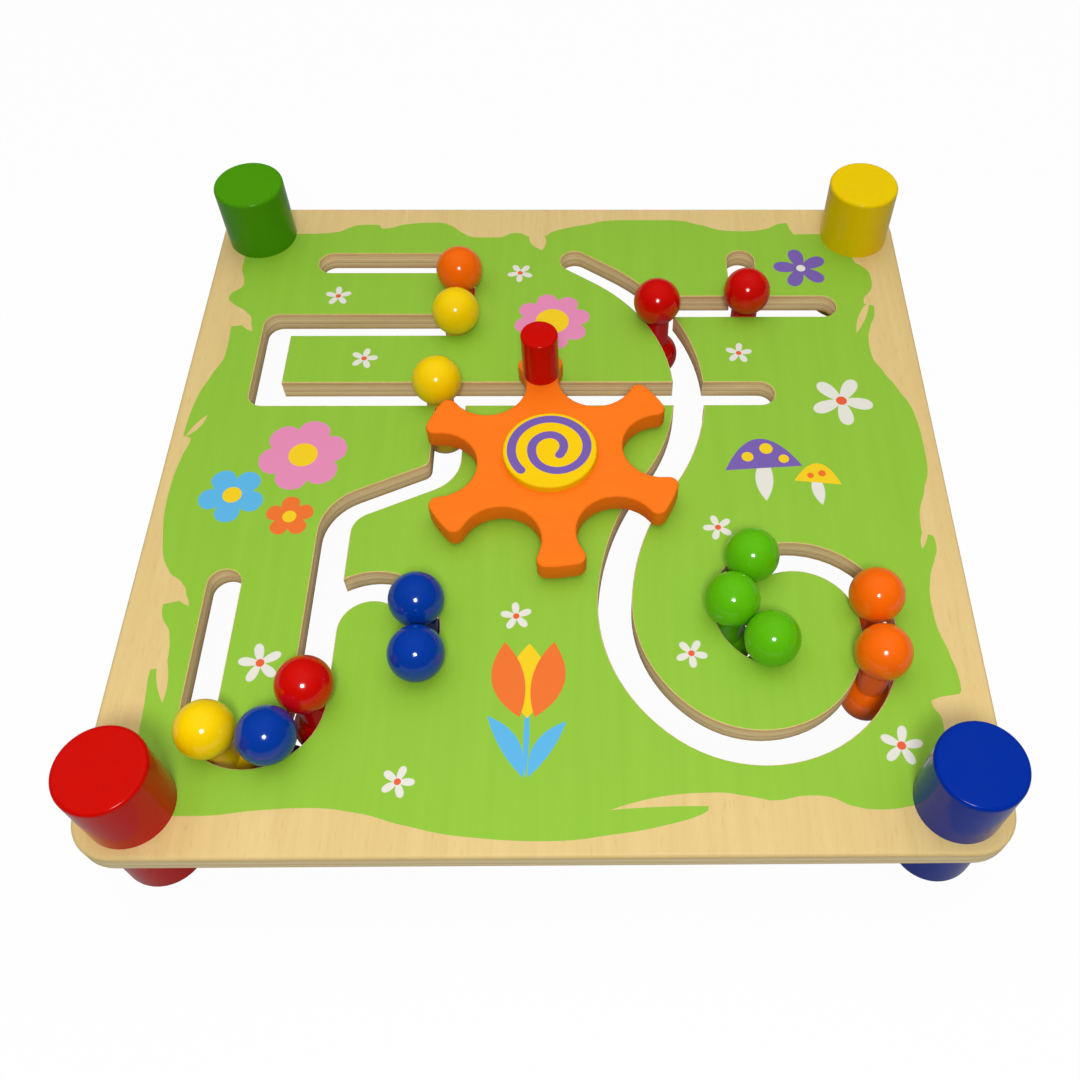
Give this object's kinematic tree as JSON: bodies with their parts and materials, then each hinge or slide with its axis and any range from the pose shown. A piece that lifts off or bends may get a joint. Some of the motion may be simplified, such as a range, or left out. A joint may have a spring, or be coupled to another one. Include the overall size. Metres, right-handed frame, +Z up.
{
  "type": "bead maze board",
  "caption": "Square wooden board on corner posts and feet, with captive beads that slide along routed slots and a star wheel turned by a peg.",
  "frame": {"origin": "on the table, under the middle of the board", "axes": "+X to the right, +Y to the back, +Z up"},
  "size_m": [0.3, 0.3, 0.0708],
  "materials": {
    "birch_ply": "satin lacquer, green print on the top face",
    "green_lacquer": "gloss lacquer",
    "yellow_lacquer": "gloss lacquer",
    "red_lacquer": "gloss lacquer",
    "blue_lacquer": "gloss lacquer",
    "orange_lacquer": "gloss lacquer",
    "steel": "zinc plated"
  },
  "bodies": {
    "board_frame": {"board": "birch_ply", "post_back_left": "green_lacquer", "post_back_right": "yellow_lacquer", "post_front_left": "red_lacquer", "post_front_right": "blue_lacquer", "foot_back_left": "green_lacquer", "foot_back_right": "yellow_lacquer", "foot_front_left": "red_lacquer", "foot_front_right": "blue_lacquer", "corner_screws": "steel", "axle_bolt": "steel", "spacer_washer": "steel", "under_washer": "steel", "axle_nut": "steel"},
    "wheel": {"star_wheel": "orange_lacquer", "spiral_cap": "yellow_lacquer", "turning_peg": "red_lacquer"},
    "orange_bead_1": {"orange_bead_1_ball": "orange_lacquer", "orange_bead_1_stem": "orange_lacquer"},
    "orange_bead_2": {"orange_bead_2_ball": "orange_lacquer", "orange_bead_2_stem": "orange_lacquer"},
    "orange_bead_3": {"orange_bead_3_ball": "orange_lacquer", "orange_bead_3_stem": "orange_lacquer"},
    "yellow_bead_1": {"yellow_bead_1_ball": "yellow_lacquer", "yellow_bead_1_stem": "yellow_lacquer"},
    "yellow_bead_2": {"yellow_bead_2_ball": "yellow_lacquer", "yellow_bead_2_stem": "yellow_lacquer"},
    "yellow_bead_3": {"yellow_bead_3_ball": "yellow_lacquer", "yellow_bead_3_stem": "yellow_lacquer"},
    "red_bead_1": {"red_bead_1_ball": "red_lacquer", "red_bead_1_stem": "red_lacquer"},
    "red_bead_2": {"red_bead_2_ball": "red_lacquer", "red_bead_2_stem": "red_lacquer"},
    "red_bead_3": {"red_bead_3_ball": "red_lacquer", "red_bead_3_stem": "red_lacquer"},
    "green_bead_1": {"green_bead_1_ball": "green_lacquer", "green_bead_1_stem": "green_lacquer"},
    "green_bead_2": {"green_bead_2_ball": "green_lacquer", "green_bead_2_stem": "green_lacquer"},
    "green_bead_3": {"green_bead_3_ball": "green_lacquer", "green_bead_3_stem": "green_lacquer"},
    "blue_bead_1": {"blue_bead_1_ball": "blue_lacquer", "blue_bead_1_stem": "blue_lacquer"},
    "blue_bead_2": {"blue_bead_2_ball": "blue_lacquer", "blue_bead_2_stem": "blue_lacquer"},
    "blue_bead_3": {"blue_bead_3_ball": "blue_lacquer", "blue_bead_3_stem": "blue_lacquer"}
  },
  "joints": [
    {"name": "wheel_spin", "type": "hinge", "parent": "board_frame", "child": "wheel", "pos_m": [-0.001, 0, 0.0408], "axis": [0, 0, 1], "continuous": true},
    {"name": "orange_bead_1_slide", "type": "slide", "parent": "board_frame", "child": "orange_bead_1", "axis": [0, 1, 0], "range_m": [-0.0041, 0.0128]},
    {"name": "orange_bead_2_swing", "type": "hinge", "parent": "board_frame", "child": "orange_bead_2", "pos_m": [0.08707, -0.06747, 0.039], "axis": [0, 0, 1], "range_deg": [-3, 26]},
    {"name": "orange_bead_3_swing", "type": "hinge", "parent": "board_frame", "child": "orange_bead_3", "pos_m": [0.07185, -0.07043, 0.039], "axis": [0, 0, -1], "range_deg": [0, 108]},
    {"name": "yellow_bead_1_slide", "type": "slide", "parent": "board_frame", "child": "yellow_bead_1", "axis": [-1, 0, 0], "range_m": [0, 0.0752]},
    {"name": "yellow_bead_2_slide", "type": "slide", "parent": "board_frame", "child": "yellow_bead_2", "axis": [-1, 0, 0], "range_m": [0, 0.0702]},
    {"name": "yellow_bead_3_swing", "type": "hinge", "parent": "board_frame", "child": "yellow_bead_3", "pos_m": [-0.0988, -0.0962, 0.039], "axis": [0, 0, -1], "range_deg": [0, 50]},
    {"name": "red_bead_1_swing", "type": "hinge", "parent": "board_frame", "child": "red_bead_1", "pos_m": [-0.02816, 0.04001, 0.039], "axis": [0, 0, 1], "range_deg": [-39, 24]},
    {"name": "red_bead_2_slide", "type": "slide", "parent": "board_frame", "child": "red_bead_2", "axis": [0, 1, 0], "range_m": [-0.0007, 0.0275]},
    {"name": "red_bead_3_slide", "type": "slide", "parent": "board_frame", "child": "red_bead_3", "axis": [0, 1, 0], "range_m": [0, 0.066]},
    {"name": "green_bead_1_swing", "type": "hinge", "parent": "board_frame", "child": "green_bead_1", "pos_m": [0.08707, -0.06747, 0.039], "axis": [0, 0, -1], "range_deg": [0, 40]},
    {"name": "green_bead_2_swing", "type": "hinge", "parent": "board_frame", "child": "green_bead_2", "pos_m": [0.08243, -0.05976, 0.039], "axis": [0, 0, -1], "range_deg": [0, 59]},
    {"name": "green_bead_3_swing", "type": "hinge", "parent": "board_frame", "child": "green_bead_3", "pos_m": [0.08243, -0.05976, 0.039], "axis": [0, 0, -1], "range_deg": [0, 59]},
    {"name": "blue_bead_1_swing", "type": "hinge", "parent": "board_frame", "child": "blue_bead_1", "pos_m": [-0.0626, -0.0694, 0.039], "axis": [0, 0, 1], "range_deg": [0, 55]},
    {"name": "blue_bead_2_slide", "type": "slide", "parent": "board_frame", "child": "blue_bead_2", "axis": [0, 1, 0], "range_m": [0, 0.0144]},
    {"name": "blue_bead_3_swing", "type": "hinge", "parent": "board_frame", "child": "blue_bead_3", "pos_m": [-0.0988, -0.0962, 0.039], "axis": [0, 0, -1], "range_deg": [0, 50]}
  ],
  "couplings": [
    {"joint": "green_bead_2_swing", "follows": "green_bead_1_swing", "ratio": 1.4737},
    {"joint": "green_bead_3_swing", "follows": "green_bead_1_swing", "ratio": 1.4737},
    {"joint": "blue_bead_2_slide", "follows": "blue_bead_1_swing", "m_per_rad": 0.015},
    {"joint": "blue_bead_3_swing", "follows": "yellow_bead_3_swing", "ratio": 1}
  ]
}
